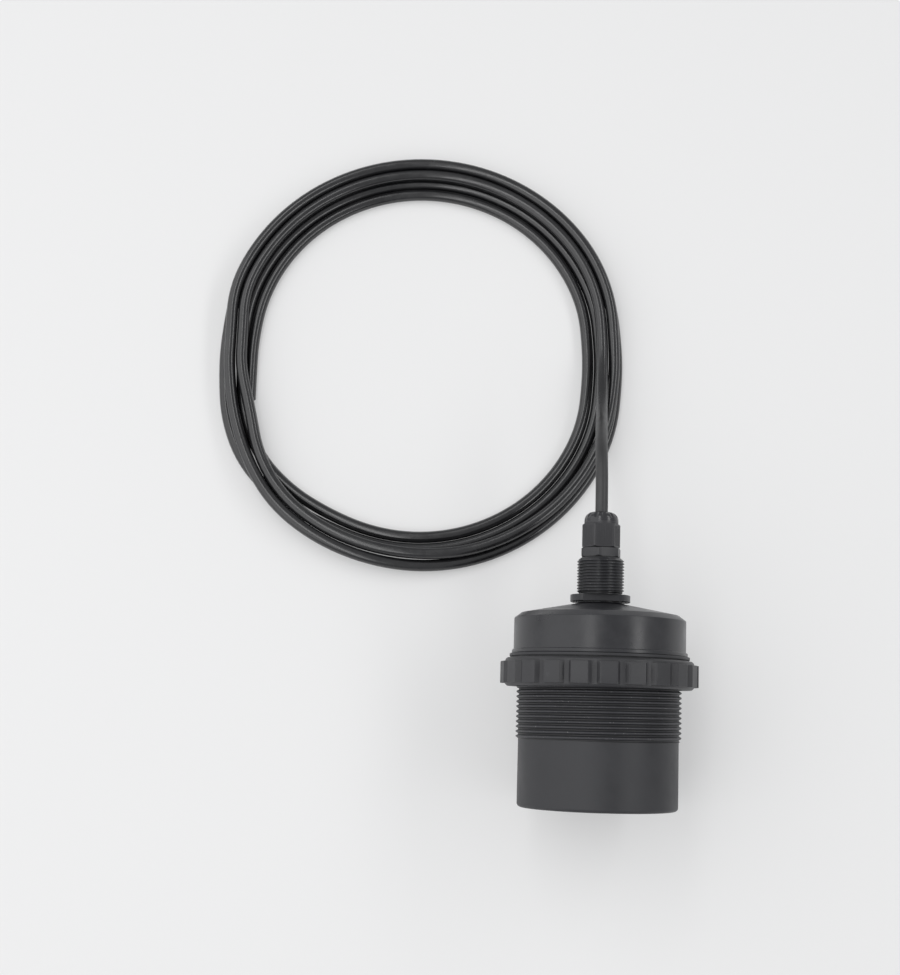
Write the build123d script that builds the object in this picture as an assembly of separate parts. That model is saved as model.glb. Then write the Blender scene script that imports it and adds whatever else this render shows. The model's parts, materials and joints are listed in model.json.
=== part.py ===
from build123d import *
import math
import os

# Ultrasonic level sensor: a 4-inch sensing barrel with a lock nut, a domed
# head with a 1-inch pipe stub, a cable gland and a coiled supply cable.
# Millimetres. Every sensor piece is modelled upright, with z measured along
# the sensor's axis from its sensing face, and then laid on its side.

# Sensing barrel
barrel_r = 55.85
barrel_edge_round = 2.5
barrel_wall = 4.85
window_thick = 4.0
thread_depth = 1.75
thread_cut = 1.6
thread_pitch = 3.44
thread_low_z = 47.0
thread_chamfer = 1.6
thread_relief = 2.2
lip_reach = 7.25
lip_low_z = 103.7
lip_thick = 2.1
lip_round = 0.4

# Lock nut and the flat seal above it
running_gap = 0.05
gasket_gap = 0.4
gasket_inset = 0.5
gasket_thick = 0.9
nut_height = 19.7
nut_wall = 8.35
nut_chamfer = 1.35
tab_count = 22
tab_stand = 3.15
tab_top_width = 11.8
tab_draft = 1.8
tab_below_top = 2.8
tab_above_base = 1.9
tab_root = 1.0

# Head cap
head_step = 2.75
head_wall = 4.5
bead_stand = 1.2
bead_height = 2.8
bead_round = 0.6
head_side_height = 25.0
shoulder_run = 5.05
shoulder_rise = 3.8
roof_rise = 4.5
roof_thick = 5.0
spigot_length = 12.0
spigot_wall = 6.0
spigot_gap = 0.15
spigot_ledge = 4.5
o_ring_section = 2.78
o_ring_groove_width = 3.6
o_ring_groove_depth = 2.65
o_ring_slack = 0.02
groove_above_end = 4.5

# Pipe stub on the head
stub_r = 16.62
neck_step = 0.62
neck_height = 4.1
collar_reach = 4.53
collar_thick = 5.0
collar_chamfer = 0.5
collar_flat_stand = 0.2
stub_neck_step = 2.27
stub_neck_height = 2.2
stub_thread_length = 21.4
stub_thread_cut = 1.1
stub_thread_pitch = 2.11
stub_top_chamfer = 2.6
stub_bore_r = 7.0
gland_socket_spare = 2.8

# Shape of both pipe threads, as shares of the pitch
thread_crest_share = 0.16
thread_root_share = 0.2

# Cable gland
gland_thread_step = 2.05
gland_thread_length = 12.0
washer_reach = 1.3
washer_thick = 0.8
hex_across_flats = 24.0
hex_corner_cut = 0.3
body_hex_height = 6.2
body_hex_turn = 23.6
nut_hex_turn = 10.8
clamp_thread_step = 1.6
clamp_thread_length = 8.6
claw_length = 8.5
claw_taper = 1.2
claw_count = 8
claw_slot = 1.2
claw_wall = 1.9
cable_clearance = 0.7
seal_length = 10.8
seal_gap = 0.1
dome_nut_gap = 0.5
dome_nut_hex_height = 16.7
dome_nut_height = 25.4
crown_stand = 0.05
crown_round = 6.1
crown_shoulder = 2.4
flute_count = 12
flute_r = 2.2
flute_depth = 0.75
flute_lean = 40.0
mouth_clearance = 0.8
mouth_length = 3.0

# Supply cable
cable_r = 4.5
jacket_inside = 49.0
core_r = 0.9
core_ring_r = 2.7
core_count = 4

# Transducer stack behind the window
damping_wall = 7.5
matching_thick = 6.0
horn_step = 1.5
horn_rim = 5.0
horn_height = 23.0
stack_r = 20.0
piezo_bore_r = 5.0
piezo_thick = 7.0
electrode_thick = 0.4
electrode_tab_width = 4.0
electrode_tab_past = 1.5
bolt_r = 4.0
bolt_gap = 0.3
bolt_depth = 15.0
bolt_head_stand = 2.5
bolt_head_height = 8.0
bolt_head_sink = 2.0
bolt_socket_flats = 6.0
bolt_socket_depth = 4.0

# Damping and potting round the stack
fill_gap = 0.2
damping_below_piezo = 3.0
foam_gap = 8.0
potting_thick = 10.0
potting_gap = 0.3
probe_r = 1.6
probe_length = 12.0
probe_inset = 3.7
lead_r = 0.8
lead_stand = 5.0
wire_gap = 0.1

# Electronics
board_gap = 1.5
board_drop = 8.2
board_thick = 1.6
post_r = 3.0
post_height = 12.0
post_inset = 10.5
post_count = 3
screw_r = 1.25
screw_gap = 0.2
screw_depth = 8.0
screw_head_stand = 1.55
screw_head_height = 2.0
terminal_length = 22.0
terminal_width = 12.0
terminal_height = 12.0
terminal_socket_depth = 3.0
transformer_r = 12.0
transformer_height = 16.0
transformer_bobbin_step = 3.0
transformer_flange = 2.5
capacitor_r = 8.0
capacitor_height = 20.0
capacitor_x = -14.0
capacitor_y = 20.0
chip_side = 14.0
chip_height = 1.6
chip_x = -22.0
chip_y = -18.0

# Coil of cable on the floor beside the gland end
coil_x = -134.2
coil_y = 250.8
coil_half_straight = 13.0
coil_outer_lane_r = 154.3
coil_lane_span = 23.1
coil_spare = 0.6
coil_layers = 2
coil_corner = 6.0

# Route of the lead from the gland mouth to the coil, after its first run
first_run = 25.0
lead_route = [
    (0.3, 155.6, 84.0),
    (2.2, 176.1, 64.9),
    (4.6, 190.9, 41.1),
    (6.3, 213.3, 26.0),
    (7.4, 239.5, 18.6),
    (8.1, 263.5, 14.2),
]

# Radii that follow the barrel
bore_r = barrel_r - barrel_wall
thread_r = barrel_r + thread_depth
lip_r = barrel_r + lip_reach
gasket_r = lip_r - gasket_inset
nut_core_r = thread_r + nut_wall
tab_flat_r = nut_core_r + tab_stand
head_r = lip_r - head_step
bead_r = head_r + bead_stand
shoulder_r = head_r - shoulder_run
matching_r = bore_r - damping_wall
horn_r = matching_r - horn_step
probe_ring_r = bore_r - probe_inset
board_r = bore_r - board_gap
post_ring_r = board_r - post_inset

# Radii that follow the pipe stub, the gland's hexagon and the drive rings
neck_r = stub_r - neck_step
collar_r = stub_r + collar_reach
stub_neck_r = stub_r - stub_neck_step
hex_flat_r = hex_across_flats / 2
gland_thread_r = hex_flat_r - gland_thread_step
washer_r = hex_flat_r + washer_reach
clamp_thread_r = hex_flat_r - clamp_thread_step
claw_top_r = clamp_thread_r - claw_taper
claw_bore_r = claw_top_r - claw_wall
crown_r = hex_flat_r + crown_stand
lead_ring_r = stack_r + lead_stand
electrode_tab_r = lead_ring_r + electrode_tab_past
foam_bore_r = stack_r + foam_gap

# The transformer stands midway between the terminal block and the probe's lead
transformer_x = (terminal_length / 2 + probe_ring_r) / 2

# Heights of the housing and the gland
head_base_z = lip_low_z + lip_thick
nut_top_z = lip_low_z - gasket_thick
nut_low_z = nut_top_z - nut_height
tab_low_z = nut_low_z + tab_above_base
tab_top_z = nut_top_z - tab_below_top
spigot_low_z = head_base_z - spigot_length
head_top_z = head_base_z + head_side_height
shoulder_z = head_top_z + shoulder_rise
roof_z = shoulder_z + roof_rise
collar_z = roof_z + neck_height
stub_neck_z = collar_z + collar_thick
stub_thread_z = stub_neck_z + stub_neck_height
stub_top_z = stub_thread_z + stub_thread_length + stub_top_chamfer
body_hex_z = stub_top_z + washer_thick
gland_thread_z = body_hex_z - gland_thread_length
clamp_z = body_hex_z + body_hex_height
claw_z = clamp_z + clamp_thread_length
claw_top_z = claw_z + claw_length
dome_nut_z = clamp_z + dome_nut_gap
mouth_z = dome_nut_z + dome_nut_height
seal_top_z = claw_top_z + dome_nut_gap

# Heights inside: the horn and the rings stand on the window, the board hangs
# below the head's spigot, and the tail and the foam fill what is between.
stack_z = window_thick + matching_thick
piezo_z = stack_z + horn_height
centre_electrode_z = piezo_z + piezo_thick
upper_piezo_z = centre_electrode_z + electrode_thick
rear_electrode_z = upper_piezo_z + piezo_thick
tail_z = rear_electrode_z + electrode_thick
parts_z = spigot_low_z - board_drop
board_z = parts_z - board_thick
post_z = board_z - post_height
potting_z = post_z - potting_thick
bolt_head_z = post_z - bolt_head_sink
foam_z = piezo_z - damping_below_piezo

# The sensor rests on one lock nut tab and on the rounded edge of the barrel,
# so its axis rises towards the gland by the slope of their common tangent.
tangent_r = tab_flat_r - (barrel_r - barrel_edge_round)
tangent_z = tab_low_z - barrel_edge_round
tangent_length = math.hypot(tangent_r, tangent_z)
tilt = math.acos(barrel_edge_round / tangent_length) - math.atan2(tangent_z, tangent_r)
axis_lift = tab_flat_r * math.cos(tilt) - tab_low_z * math.sin(tilt)


def turned(*corners):
    """A solid turned about the axis from corners of (radius, height, rounding)."""
    places = [(r, z) for r, z, _ in corners]
    rounds = [rounding for _, _, rounding in corners]
    outline = FilletPolyline(*places, radius=rounds, close=True)
    return revolve(Plane.XZ * make_face(outline), Axis.Z)


def thread_grooves(crest_r, cut, pitch, low, high):
    """Corners of a pipe thread for turned(), drawn as one ring groove for each turn between two heights."""
    half_root = pitch * thread_root_share / 2
    half_mouth = pitch * (1 - thread_crest_share) / 2
    corners = []
    for i in range(int((high - low) / pitch)):
        middle = low + pitch * (i + 0.5)
        corners += [
            (crest_r, middle - half_mouth, 0),
            (crest_r - cut, middle - half_root, 0),
            (crest_r - cut, middle + half_root, 0),
            (crest_r, middle + half_mouth, 0),
        ]
    return corners


def rod(radius, low, high, x=0.0, y=0.0):
    """A round rod along the axis between two heights."""
    return Pos(x, y, low) * extrude(Circle(radius), high - low)


def tube(outer, inner, low, high):
    """A plain tube along the axis between two heights."""
    return rod(outer, low, high) - rod(inner, low, high)


def block(length, width, low, high, x=0.0, y=0.0):
    """A box that stands between two heights."""
    return Pos(x, y, low) * extrude(Rectangle(length, width), high - low)


def around(count, radius, start=0.0):
    """Places evenly spaced on a circle, as (x, y) pairs."""
    angles = [math.radians(start + 360.0 * i / count) for i in range(count)]
    return [(radius * math.cos(a), radius * math.sin(a)) for a in angles]


def hexagon(low, high, turn):
    """A hexagon bar of the gland's size, with its corners cut back by a cone."""
    corner_r = hex_flat_r / math.cos(math.pi / 6)
    bar = Pos(0, 0, low) * extrude(Rot(0, 0, turn) * RegularPolygon(corner_r, 6), high - low)
    cut = corner_r - hex_flat_r - hex_corner_cut
    blank = turned(
        (0, low, 0),
        (corner_r - cut, low, 0),
        (corner_r, low + cut / 2, 0),
        (corner_r, high - cut / 2, 0),
        (corner_r - cut, high, 0),
        (0, high, 0),
    )
    return bar & blank


def threaded_barrel():
    """The lower housing: closed window at the face, 4-inch thread and top lip."""
    thread_top_z = lip_low_z - thread_relief
    return turned(
        (0, 0, 0),
        (barrel_r, 0, barrel_edge_round),
        (barrel_r, thread_low_z, 0),
        (thread_r, thread_low_z + thread_chamfer, 0),
        *thread_grooves(thread_r, thread_cut, thread_pitch, thread_low_z + thread_chamfer, thread_top_z),
        (thread_r, thread_top_z, 0),
        (barrel_r, thread_top_z + (thread_r - barrel_r), 0),
        (barrel_r, lip_low_z, 0),
        (lip_r, lip_low_z, lip_round),
        (lip_r, head_base_z, lip_round),
        (bore_r, head_base_z, 0),
        (bore_r, window_thick, 0),
        (0, window_thick, 0),
    )


def lock_nut():
    """The ring nut, with raised tabs for a hook spanner all round its core."""
    bore = thread_r + running_gap
    ring = turned(
        (bore, nut_low_z, 0),
        (nut_core_r - nut_chamfer, nut_low_z, 0),
        (nut_core_r, nut_low_z + nut_chamfer, 0),
        (nut_core_r, nut_top_z - nut_chamfer, 0),
        (nut_core_r - nut_chamfer, nut_top_z, 0),
        (bore, nut_top_z, 0),
    )
    half_top = tab_top_width / 2
    root_r = nut_core_r - tab_root
    half_root = half_top + tab_draft * (tab_flat_r - root_r) / (tab_flat_r - nut_core_r)
    outline = Polyline(
        (root_r, -half_root),
        (tab_flat_r, -half_top),
        (tab_flat_r, half_top),
        (root_r, half_root),
        close=True,
    )
    tab = Pos(0, 0, tab_low_z) * extrude(make_face(outline), tab_top_z - tab_low_z)
    tabs = [Rot(0, 0, 90 + 360 * i / tab_count) * tab for i in range(tab_count)]
    return ring + tabs


def flange_gasket():
    """The thin flat seal between the lip and the lock nut."""
    return tube(gasket_r, thread_r + gasket_gap, nut_top_z, lip_low_z)


def head_cap():
    """The upper housing: spigot, bead, side wall, shoulder, roof and pipe stub."""
    spigot_r = bore_r - spigot_gap
    spigot_in = spigot_r - spigot_wall
    groove_low = spigot_low_z + groove_above_end
    groove_high = groove_low + o_ring_groove_width
    groove_r = spigot_r - o_ring_groove_depth
    inner_r = head_r - head_wall
    socket_r = gland_thread_r + running_gap
    socket_z = gland_thread_z - gland_socket_spare
    thread_end_z = stub_top_z - stub_top_chamfer
    cap = turned(
        (spigot_in, spigot_low_z, 0),
        (spigot_r, spigot_low_z, 0),
        (spigot_r, groove_low, 0),
        (groove_r, groove_low, 0),
        (groove_r, groove_high, 0),
        (spigot_r, groove_high, 0),
        (spigot_r, head_base_z, 0),
        (bead_r, head_base_z, 0),
        (bead_r, head_base_z + bead_height, bead_round),
        (head_r, head_base_z + bead_height, 0),
        (head_r, head_top_z, 1.0),
        (shoulder_r, shoulder_z, 1.0),
        (neck_r, roof_z, 2.5),
        (neck_r, collar_z, 0),
        (collar_r, collar_z, collar_chamfer),
        (collar_r, stub_neck_z, collar_chamfer),
        (stub_neck_r, stub_neck_z, 0),
        (stub_neck_r, stub_thread_z - (stub_r - stub_neck_r) / 2, 0),
        (stub_r, stub_thread_z, 0),
        *thread_grooves(stub_r, stub_thread_cut, stub_thread_pitch, stub_thread_z, thread_end_z),
        (stub_r, thread_end_z, 0),
        (stub_neck_r, stub_top_z, 0),
        (socket_r, stub_top_z, 0),
        (socket_r, socket_z, 0),
        (stub_bore_r, socket_z, 0),
        (stub_bore_r, roof_z - roof_thick, 0),
        (inner_r - 1, shoulder_z - roof_thick, 0),
        (inner_r, head_top_z - head_wall, 0),
        (inner_r, head_base_z + spigot_ledge, 0),
        (spigot_in, head_base_z + spigot_ledge, 0),
    )
    # A spanner holds the collar by two flats that stand just clear of the neck.
    flat_y = neck_r + collar_flat_stand + collar_r / 2
    for side in (-1, 1):
        cap -= block(2 * collar_r, collar_r, collar_z, stub_neck_z, y=side * flat_y)
    return cap


def housing_o_ring():
    """The round seal in the spigot's groove, against the barrel's bore."""
    groove_r = bore_r - spigot_gap - o_ring_groove_depth
    centre_r = (groove_r + bore_r) / 2
    middle = spigot_low_z + groove_above_end + o_ring_groove_width / 2
    section_r = min(o_ring_section, bore_r - groove_r) / 2 - o_ring_slack / 2
    return Pos(0, 0, middle) * Torus(centre_r, section_r)


def gland_washer():
    """The flat seal under the gland body."""
    return tube(washer_r, gland_thread_r + gasket_gap, stub_top_z, body_hex_z)


def gland_body():
    """The gland's lower half: thread, hexagon and a slotted clamping claw."""
    body = hexagon(body_hex_z, clamp_z, body_hex_turn)
    body += rod(gland_thread_r, gland_thread_z, body_hex_z)
    body += rod(clamp_thread_r, clamp_z, claw_z)
    body += turned(
        (0, claw_z, 0),
        (clamp_thread_r - running_gap, claw_z, 0),
        (claw_top_r, claw_top_z, 0),
        (0, claw_top_z, 0),
    )
    body -= rod(cable_r + cable_clearance, gland_thread_z, claw_top_z)
    body -= rod(claw_bore_r, seal_top_z - seal_length - seal_gap, claw_top_z)
    for i in range(claw_count // 2):
        slot = block(3 * claw_top_r, claw_slot, claw_z, claw_top_z)
        body -= Rot(0, 0, 360 * i / claw_count) * slot
    return body


def gland_seal():
    """The rubber insert that the claw squeezes onto the cable."""
    outer = claw_bore_r - seal_gap
    inner = cable_r + running_gap
    low = seal_top_z - seal_length
    edge = (outer - inner) / 4
    return turned(
        (inner, low, 0),
        (outer, low, edge),
        (outer, seal_top_z, edge),
        (inner, seal_top_z, 0),
    )


def gland_dome_nut():
    """The domed clamping nut, with flutes round its crown and a cone inside."""
    hex_top = dome_nut_z + dome_nut_hex_height
    mouth_r = cable_r + mouth_clearance
    nut = hexagon(dome_nut_z, hex_top, nut_hex_turn)
    nut += turned(
        (0, hex_top - crown_shoulder, 0),
        (crown_r, hex_top - crown_shoulder, 0),
        (crown_r, mouth_z, crown_round),
        (0, mouth_z, 0),
    )
    bore = clamp_thread_r + running_gap
    nut -= turned(
        (0, dome_nut_z, 0),
        (bore, dome_nut_z, 0),
        (bore, claw_z + 1.5, 0),
        (claw_top_r + 0.4, seal_top_z + 0.3, 0),
        (mouth_r + 1.2, mouth_z - mouth_length, 0),
        (mouth_r, mouth_z - mouth_length, 0),
        (mouth_r, mouth_z, 0),
        (0, mouth_z, 0),
    )
    # Each flute leans with the crown and cuts its rounded corner.
    crown_centre_r = crown_r - crown_round
    reach = crown_round - flute_depth + flute_r
    out = math.radians(flute_lean)
    flute_x = crown_centre_r + reach * math.cos(out)
    flute_z = mouth_z - crown_round + reach * math.sin(out)
    cutter = Pos(flute_x, 0, flute_z) * Rot(0, -flute_lean, 0) * Cylinder(flute_r, 2 * crown_round)
    for i in range(flute_count):
        nut -= Rot(0, 0, nut_hex_turn + 360 * i / flute_count) * cutter
    return nut


def matching_layer():
    """The light syntactic disc bonded behind the window."""
    return rod(matching_r, window_thick, stack_z)


def radiating_horn():
    """The aluminium front mass: a thin rim that cones up to the piezo stack."""
    horn = turned(
        (0, stack_z, 0),
        (horn_r, stack_z, 0),
        (horn_r, stack_z + horn_rim, 0),
        (stack_r, piezo_z, 0),
        (0, piezo_z, 0),
    )
    return horn - rod(bolt_r + running_gap, piezo_z - bolt_depth, piezo_z)


def piezo_ring(low):
    """One ceramic drive ring of the stack."""
    return tube(stack_r, piezo_bore_r, low, low + piezo_thick)


def electrode(low, side):
    """A thin contact ring with a solder tab that stands out on one side."""
    tab_from = stack_r - 1.0
    tab_middle = side * (tab_from + electrode_tab_r) / 2
    top = low + electrode_thick
    tab = block(electrode_tab_width, electrode_tab_r - tab_from, low, top, 0, tab_middle)
    return tube(stack_r, piezo_bore_r, low, top) + tab


def tail_mass():
    """The steel back mass of the stack."""
    return tube(stack_r, bolt_r + bolt_gap, tail_z, bolt_head_z)


def stress_bolt():
    """The screw that clamps the stack, with a hexagon socket in its head."""
    bolt = rod(bolt_r, piezo_z - bolt_depth, bolt_head_z)
    bolt += rod(bolt_r + bolt_head_stand, bolt_head_z, bolt_head_z + bolt_head_height)
    socket_r = bolt_socket_flats / 2 / math.cos(math.pi / 6)
    socket_z = bolt_head_z + bolt_head_height - bolt_socket_depth
    return bolt - Pos(0, 0, socket_z) * extrude(RegularPolygon(socket_r, 6), bolt_socket_depth)


def damping_ring():
    """The soft ring that seats on the window and holds the probe's pocket."""
    ring = tube(bore_r - fill_gap, matching_r + fill_gap, window_thick, foam_z)
    return ring - rod(probe_r + wire_gap, window_thick, foam_z, probe_ring_r)


def backing_foam():
    """The foam sleeve round the stack, with a hole for the probe's lead."""
    sleeve = tube(bore_r - fill_gap, foam_bore_r, foam_z, potting_z)
    return sleeve - rod(lead_r + wire_gap, foam_z, potting_z, probe_ring_r)


def potting_compound():
    """The resin plug that closes the transducer chamber, with the wires through it."""
    plug = tube(bore_r - fill_gap, stack_r + potting_gap, potting_z, post_z)
    wires = [(probe_ring_r, 0)] + around(2, lead_ring_r, 90)
    for x, y in wires:
        plug -= rod(lead_r + wire_gap, potting_z, post_z, x, y)
    return plug


def temperature_probe():
    """The small probe in its pocket, right behind the window."""
    return rod(probe_r, window_thick, window_thick + probe_length, probe_ring_r)


def probe_lead():
    """The wire from the probe up to the board."""
    return rod(lead_r, window_thick + probe_length, parts_z, probe_ring_r)


def transducer_leads():
    """The two wires from the electrode tabs up to the board."""
    tabs = [upper_piezo_z, tail_z]
    places = around(2, lead_ring_r, 90)
    return [rod(lead_r, low, parts_z, x, y) for low, (x, y) in zip(tabs, places)]


def circuit_board():
    """The round board, drilled for its screws and wires."""
    board = rod(board_r, board_z, parts_z)
    for x, y in around(post_count, post_ring_r, 60):
        board -= rod(screw_r + screw_gap, board_z, parts_z, x, y)
    for x, y in [(probe_ring_r, 0)] + around(2, lead_ring_r, 90):
        board -= rod(lead_r + wire_gap, board_z, parts_z, x, y)
    return board


def board_posts():
    """The posts that stand in the potting and carry the board."""
    posts = []
    for x, y in around(post_count, post_ring_r, 60):
        post = rod(post_r, post_z, board_z, x, y)
        hole_low = parts_z - screw_depth
        posts.append(post - rod(screw_r + wire_gap, hole_low, board_z, x, y))
    return posts


def board_screws():
    """The screws that hold the board on its posts."""
    screws = []
    for x, y in around(post_count, post_ring_r, 60):
        shank = rod(screw_r, parts_z - screw_depth, parts_z, x, y)
        head = rod(screw_r + screw_head_stand, parts_z, parts_z + screw_head_height, x, y)
        screws.append(shank + head)
    return screws


def terminal_block():
    """The block that takes the cable's cores, with a socket for each."""
    top = parts_z + terminal_height
    body = block(terminal_length, terminal_width, parts_z, top)
    for x, y in around(core_count, core_ring_r, 45):
        body -= rod(core_r + wire_gap, top - terminal_socket_depth, top, x, y)
    return body


def pulse_transformer():
    """The pot-core transformer that steps up the drive pulse."""
    top = parts_z + transformer_height
    core = rod(transformer_r - transformer_bobbin_step, parts_z, top, transformer_x)
    core += rod(transformer_r, parts_z, parts_z + transformer_flange, transformer_x)
    return core + rod(transformer_r, top - transformer_flange, top, transformer_x)


def storage_capacitor():
    """The capacitor that feeds the pulse."""
    return rod(capacitor_r, parts_z, parts_z + capacitor_height, capacitor_x, capacitor_y)


def processor_chip():
    """The flat chip that times the echo."""
    return block(chip_side, chip_side, parts_z, parts_z + chip_height, chip_x, chip_y)


def cable_entry():
    """The stretch of cable that the gland grips, up to its mouth."""
    return rod(cable_r, mouth_z - jacket_inside, mouth_z)


def cable_cores():
    """The cores from the end of the jacket down to the terminal block."""
    low = parts_z + terminal_height - terminal_socket_depth
    high = mouth_z - jacket_inside
    return [rod(core_r, low, high, x, y) for x, y in around(core_count, core_ring_r, 45)]


def corner_radii(points):
    """The radius at each corner: 0.45 of the shorter run over tan of half the turn."""
    radii = []
    for before, corner, after in zip(points, points[1:], points[2:]):
        run_in = Vector(corner) - Vector(before)
        run_out = Vector(after) - Vector(corner)
        half_turn = math.radians(run_in.get_angle(run_out) / 2)
        radii.append(0.45 * min(run_in.length, run_out.length) / math.tan(half_turn))
    return radii


def cable_lead(points):
    """The free stretch of cable: straight runs joined by tangent arcs."""
    radii = corner_radii(points)
    print("lead radii", [round(r, 1) for r in radii])
    path = FilletPolyline(*points, radius=radii)
    section = Plane(origin=path @ 0, z_dir=path % 0) * Circle(cable_r)
    lead = sweep(section, path=path)
    plain = math.pi * cable_r**2 * path.length
    print("lead length", round(path.length, 1))
    print("lead volume", round(lead.volume), "section times length", round(plain))
    return lead


def cable_coil(lead):
    """The outer shape of the coil: a ring with short straights, cut for the lead."""
    width = coil_lane_span + 2 * (cable_r + coil_spare)
    height = coil_layers * 2 * cable_r + coil_spare
    middle_r = coil_outer_lane_r - coil_lane_span / 2
    section = Pos(middle_r, height / 2) * RectangleRounded(width, height, coil_corner)
    ring = None
    for side in (1, -1):
        half = revolve(Plane.XZ * section, Axis.Z, 180)
        half = Pos(0, side * coil_half_straight, 0) * (Rot(0, 0, 0 if side > 0 else 180) * half)
        straight = Pos(0, coil_half_straight, 0) * (Plane.XZ * (Pos(side * middle_r, height / 2)
                   * RectangleRounded(width, height, coil_corner)))
        bar = extrude(straight, 2 * coil_half_straight)
        ring = half + bar if ring is None else ring + half + bar
    return Pos(coil_x, coil_y, 0) * ring - lead


sensor = {
    "threaded_barrel": threaded_barrel(),
    "lock_nut": lock_nut(),
    "flange_gasket": flange_gasket(),
    "head_cap": head_cap(),
    "housing_o_ring": housing_o_ring(),
    "gland_washer": gland_washer(),
    "gland_body": gland_body(),
    "gland_seal": gland_seal(),
    "gland_dome_nut": gland_dome_nut(),
    "matching_layer": matching_layer(),
    "radiating_horn": radiating_horn(),
    "piezo_ring_lower": piezo_ring(piezo_z),
    "electrode_centre": electrode(centre_electrode_z, 1),
    "piezo_ring_upper": piezo_ring(upper_piezo_z),
    "electrode_rear": electrode(rear_electrode_z, -1),
    "tail_mass": tail_mass(),
    "stress_bolt": stress_bolt(),
    "damping_ring": damping_ring(),
    "backing_foam": backing_foam(),
    "potting_compound": potting_compound(),
    "temperature_probe": temperature_probe(),
    "probe_lead": probe_lead(),
    "transducer_leads": transducer_leads(),
    "circuit_board": circuit_board(),
    "board_posts": board_posts(),
    "board_screws": board_screws(),
    "terminal_block": terminal_block(),
    "pulse_transformer": pulse_transformer(),
    "storage_capacitor": storage_capacitor(),
    "processor_chip": processor_chip(),
    "cable_cores": cable_cores(),
    "cable_entry": cable_entry(),
}

# Lay the sensor down with its gland towards +Y, and centre it over the origin.
lean = Pos(0, 0, axis_lift) * Rot(math.degrees(tilt) - 90, 0, 0)


def placed(shape, place):
    """A shape, or a group of them, moved to its place as one compound."""
    shapes = shape if isinstance(shape, list) else [shape]
    solids = [solid for item in shapes for solid in (place * item).solids()]
    return solids[0] if len(solids) == 1 else Compound(solids)


outside = placed([sensor["threaded_barrel"], sensor["lock_nut"], sensor["gland_dome_nut"]], lean)
reach = outside.bounding_box()
lay = Pos(0, -(reach.min.Y + reach.max.Y) / 2, 0) * lean

nodes = {name: placed(shape, lay) for name, shape in sensor.items()}
mouth = (lay * Pos(0, 0, mouth_z)).position
first_bend = (lay * Pos(0, 0, mouth_z + first_run)).position
route = [tuple(mouth), tuple(first_bend)] + lead_route
nodes["cable_lead"] = cable_lead(route)
nodes["cable_coil"] = cable_coil(nodes["cable_lead"])

os.makedirs("parts", exist_ok=True)
for name, shape in nodes.items():
    export_step(shape, f"parts/{name}.step")

print("tilt", round(math.degrees(tilt), 3), "axis lift", round(axis_lift, 3))
print("face centre", (lay * Pos(0, 0, 0)).position)
print("mouth", mouth, "first bend", first_bend)
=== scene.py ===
# %% [markdown]
# # An ultrasonic level sensor beside its coiled cable
# The sensor is a dark plastic can that hangs in the roof of a tank and listens for the echo of its own
# clicks. It lies on its side here: its lower housing carries a big pipe thread and a lock nut, its
# head ends in a small pipe stub and a cable gland, and its cable runs over to a coil on the floor. The
# CAD model is loaded first. It is the frame that every new piece has to fit, so nothing in it is
# moved.

# %% The frame
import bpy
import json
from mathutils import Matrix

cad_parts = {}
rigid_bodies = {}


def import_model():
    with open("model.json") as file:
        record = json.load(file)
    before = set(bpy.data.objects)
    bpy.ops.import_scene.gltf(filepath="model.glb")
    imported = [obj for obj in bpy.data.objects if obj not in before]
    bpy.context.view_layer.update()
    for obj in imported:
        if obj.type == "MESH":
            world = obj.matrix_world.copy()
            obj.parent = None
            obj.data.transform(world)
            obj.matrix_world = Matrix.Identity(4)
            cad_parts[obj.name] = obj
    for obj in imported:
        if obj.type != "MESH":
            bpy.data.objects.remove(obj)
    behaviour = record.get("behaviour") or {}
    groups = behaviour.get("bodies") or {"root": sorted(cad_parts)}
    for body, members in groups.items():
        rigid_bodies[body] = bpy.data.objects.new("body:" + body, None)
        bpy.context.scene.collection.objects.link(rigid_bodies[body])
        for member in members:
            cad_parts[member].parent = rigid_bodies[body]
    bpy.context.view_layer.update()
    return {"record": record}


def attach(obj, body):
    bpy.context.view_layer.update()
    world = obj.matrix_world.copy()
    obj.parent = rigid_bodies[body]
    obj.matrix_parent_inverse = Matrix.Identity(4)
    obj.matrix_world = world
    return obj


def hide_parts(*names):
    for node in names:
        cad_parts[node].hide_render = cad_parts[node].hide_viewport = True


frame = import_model()

# %% Tools and units
import json
import math

import bpy
from mathutils import Matrix, Vector

MM = 0.001

# %% [markdown]
# ## Where the sensor lies
# Every sensor piece is easiest to build upright, with Z running up from the sensing face. The packed
# record says where that face is and which way it looks, so one matrix can lay each finished piece down
# beside the coil. A turned piece can also be modelled lying, but then every operator has to work along
# a slanted axis.

# %% From upright to lying
mounts = {mount["name"]: mount for mount in frame["record"]["mounts"]}
face = Vector(mounts["sensing_face"]["pos_m"])
up_axis = -Vector(mounts["sensing_face"]["axis"])
tilt = math.atan2(up_axis.z, up_axis.y)
lay_turn = tilt - math.pi / 2
lay = Matrix.Translation(face) @ Matrix.Rotation(lay_turn, 4, "X")
print("sensor axis rises by", round(math.degrees(tilt), 2), "degrees")

# %% [markdown]
# ## Helpers for modelling
# An operator acts on everything that is selected, so each step first selects one piece alone. Edit
# mode is entered with a clear choice of vertices, edges or faces.


# %% Selecting and editing
def only(piece):
    """Selects one piece alone and makes it the active one."""
    if bpy.context.mode != "OBJECT":
        bpy.ops.object.mode_set(mode="OBJECT")
    bpy.ops.object.select_all(action="DESELECT")
    piece.select_set(True)
    bpy.context.view_layer.objects.active = piece


def edit(piece, part="VERT", everything=True):
    """Opens a piece in edit mode with all of it selected, or none of it."""
    only(piece)
    bpy.ops.object.mode_set(mode="EDIT")
    bpy.ops.mesh.select_mode(type=part)
    bpy.ops.mesh.select_all(action="SELECT" if everything else "DESELECT")


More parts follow.
